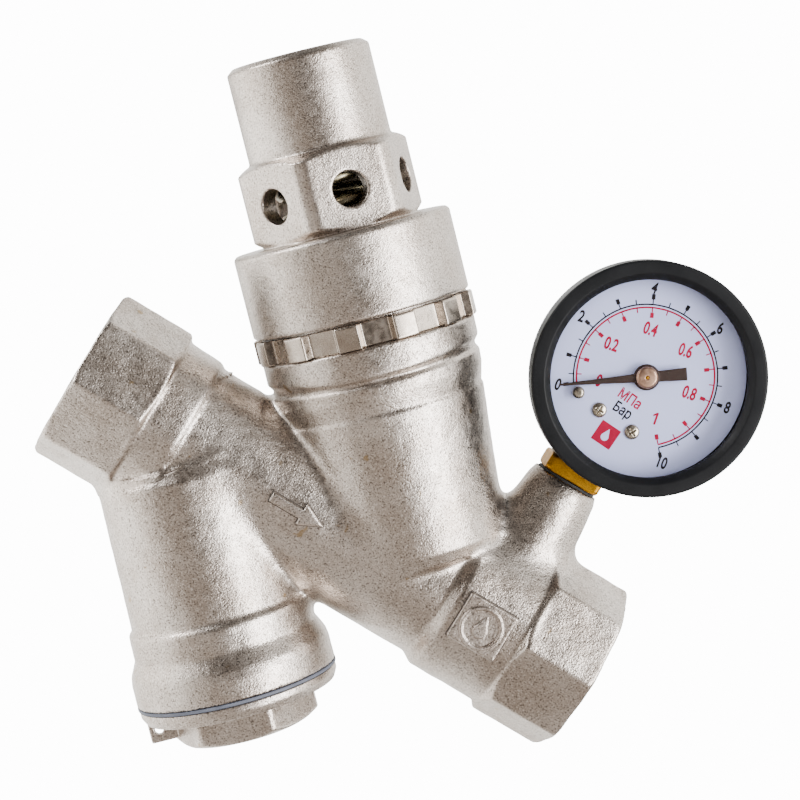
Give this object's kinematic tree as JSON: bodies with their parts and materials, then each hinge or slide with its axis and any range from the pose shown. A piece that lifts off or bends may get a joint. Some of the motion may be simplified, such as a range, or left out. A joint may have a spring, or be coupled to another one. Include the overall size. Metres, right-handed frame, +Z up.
{
  "type": "pressure reducing valve",
  "caption": "Inline pressure reducing valve: angled spring bonnet, angled strainer leg with hexagon plug, threaded ports and a round dial gauge.",
  "frame": {"origin": "midpoint between the two port faces, on the pipe's axis", "axes": "+X along the pipe in the direction of flow, +Z up the gauge stem, and the dial faces -Y"},
  "size_m": [0.1422, 0.051, 0.1637],
  "materials": {
    "forged_nickel": "forged brass, sandblasted and nickel plated, warm grey satin",
    "machined_nickel": "turned brass, fine blasted and nickel plated, warm grey satin",
    "brass": "bright turned brass",
    "steel": "stainless steel, turned",
    "spring_steel": "drawn spring wire",
    "rubber": "matte black rubber",
    "grey_fibre": "matte dark grey fibre gasket",
    "black_paint": "satin black enamel on steel",
    "dial_white": "matte white enamel with printed scales",
    "pointer_paint": "dark brown enamel",
    "window": "clear polished window"
  },
  "bodies": {
    "housing": {"valve_body": "forged_nickel", "lock_ring": "machined_nickel", "bonnet": "machined_nickel", "seat_insert": "steel", "regulating_spring": "spring_steel", "gauge_seal": "rubber", "gauge_stem": "brass", "gauge_case": "black_paint", "blow_out_plug": "rubber", "gauge_ring": "black_paint", "gauge_window": "window", "dial_plate": "dial_white", "dial_screw_1": "steel", "dial_screw_2": "steel", "dial_post_1": "brass", "dial_post_2": "brass", "stop_pin": "black_paint", "movement_front_plate": "brass", "movement_back_plate": "brass", "movement_pillar_1": "brass", "movement_pillar_2": "brass", "movement_pillar_3": "brass", "movement_pillar_4": "brass", "bourdon_tube": "brass", "hairspring": "spring_steel"},
    "valve_piston": {"piston": "brass", "piston_seal": "rubber", "spindle": "brass", "piston_nut": "steel", "disc_holder": "brass", "disc_seal": "rubber", "disc_nut": "steel"},
    "upper_spring_seat": {"spring_seat": "steel"},
    "screw": {"adjusting_screw": "steel"},
    "strainer": {"strainer_basket": "steel", "plug_gasket": "grey_fibre"},
    "plug": {"strainer_plug": "machined_nickel"},
    "gauge_pointer": {"pointer": "pointer_paint", "pointer_cap": "brass", "pointer_arbor": "steel"},
    "sector": {"sector_gear": "brass"},
    "link": {"pull_link": "brass"}
  },
  "joints": [
    {"name": "piston_lift", "type": "slide", "parent": "housing", "child": "valve_piston", "axis": [-0.7071, 0, 0.7071], "range_m": [0, 0.0035], "stiffness_N_per_m": 12000, "springref_m": -0.002, "deforming": ["regulating_spring"]},
    {"name": "spring_seat_travel", "type": "slide", "parent": "housing", "child": "upper_spring_seat", "axis": [-0.7071, 0, 0.7071], "range_m": [0, 0.006]},
    {"name": "adjusting_screw_turn", "type": "hinge", "parent": "upper_spring_seat", "child": "screw", "pos_m": [0.0255, 0, 0], "axis": [-0.7071, 0, 0.7071], "range_deg": [0, 1441]},
    {"name": "strainer_travel", "type": "slide", "parent": "housing", "child": "strainer", "axis": [0.7071, 0, -0.7071], "range_m": [0, 0.008]},
    {"name": "plug_turn", "type": "hinge", "parent": "strainer", "child": "plug", "pos_m": [-0.0433, 0, 0], "axis": [0.7071, 0, -0.7071], "range_deg": [0, 1441]},
    {"name": "pointer_turn", "type": "hinge", "parent": "housing", "child": "gauge_pointer", "pos_m": [0.04295, 0, 0.0656], "axis": [0, 1, 0], "range_deg": [0, 264], "stiffness_Nm_per_rad": 0.00002, "springref_deg": -28.65, "deforming": ["hairspring"]},
    {"name": "sector_turn", "type": "hinge", "parent": "housing", "child": "sector", "pos_m": [0.0425, 0, 0.05736], "axis": [0, 1, 0], "range_deg": [-26.5, 0.1]},
    {"name": "link_swing", "type": "hinge", "parent": "sector", "child": "link", "pos_m": [0.04138, 0, 0.05352], "axis": [0, 1, 0], "range_deg": [-0.1, 26.5]}
  ],
  "couplings": [
    {"joint": "adjusting_screw_turn", "follows": "spring_seat_travel", "rad_per_m": 4188.8},
    {"joint": "plug_turn", "follows": "strainer_travel", "rad_per_m": 3141.6},
    {"joint": "sector_turn", "follows": "pointer_turn", "ratio": -0.1},
    {"joint": "link_swing", "follows": "pointer_turn", "ratio": 0.1}
  ]
}
